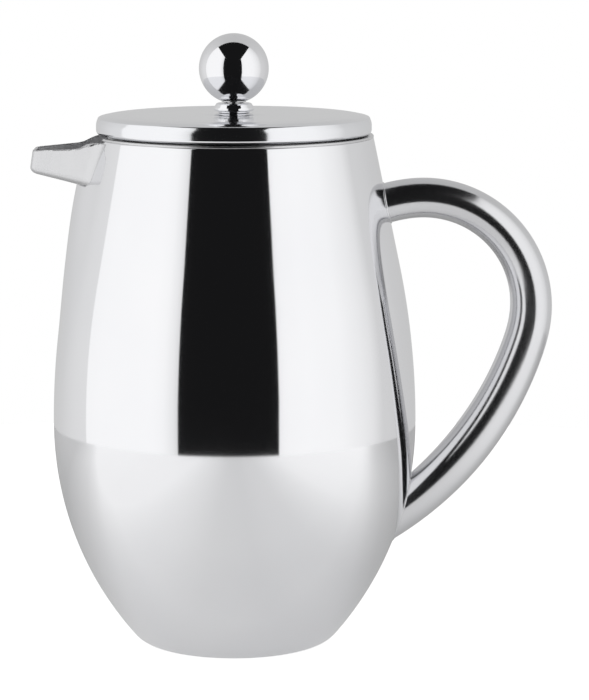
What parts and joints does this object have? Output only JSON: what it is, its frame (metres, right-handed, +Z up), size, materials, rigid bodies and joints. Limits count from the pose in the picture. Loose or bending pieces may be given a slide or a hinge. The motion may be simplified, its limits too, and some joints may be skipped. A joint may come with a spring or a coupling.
{
  "type": "french press",
  "caption": "Double-walled steel coffee press with a barrel body, short open beak, hollow loop handle, flat drop-in lid and a ball-topped plunger with a sprung filter.",
  "frame": {"origin": "centre of the base, on the surface the pot stands on", "axes": "+Z up along the pot's axis, +X towards the handle, -X towards the beak"},
  "size_m": [0.1873, 0.1308, 0.2204],
  "materials": {
    "polished_steel": "mirror-polished stainless steel",
    "satin_steel": "satin stainless steel with fine turning lines",
    "spring_wire": "drawn stainless spring wire",
    "woven_steel": "fine woven stainless wire cloth",
    "nylon": "natural nylon"
  },
  "bodies": {
    "pot": {"outer_shell": "polished_steel", "inner_vessel": "satin_steel", "base_cap": "satin_steel", "spout": "polished_steel", "handle_front_half": "polished_steel", "handle_back_half": "polished_steel"},
    "guide": {"rod_guide": "nylon"},
    "lid": {"lid_cap": "polished_steel", "lid_liner": "satin_steel", "lid_skirt": "satin_steel", "lid_collar": "polished_steel", "collar_nut": "satin_steel"},
    "plunger": {"knob_ball": "polished_steel", "knob_insert": "satin_steel", "plunger_rod": "satin_steel", "rod_shoulder": "satin_steel", "pressure_plate": "satin_steel", "edge_spring": "spring_wire", "filter_screen": "woven_steel", "cross_plate": "satin_steel", "cross_hub": "satin_steel"}
  },
  "joints": [
    {"name": "lid_lift", "type": "slide", "parent": "pot", "child": "guide", "axis": [0, 0, 1], "range_m": [0, 0.2]},
    {"name": "lid_turn", "type": "hinge", "parent": "guide", "child": "lid", "pos_m": [0, 0, 0.185], "axis": [0, 0, 1], "continuous": true},
    {"name": "plunge", "type": "slide", "parent": "guide", "child": "plunger", "axis": [0, 0, 1], "range_m": [0, 0.136]}
  ]
}
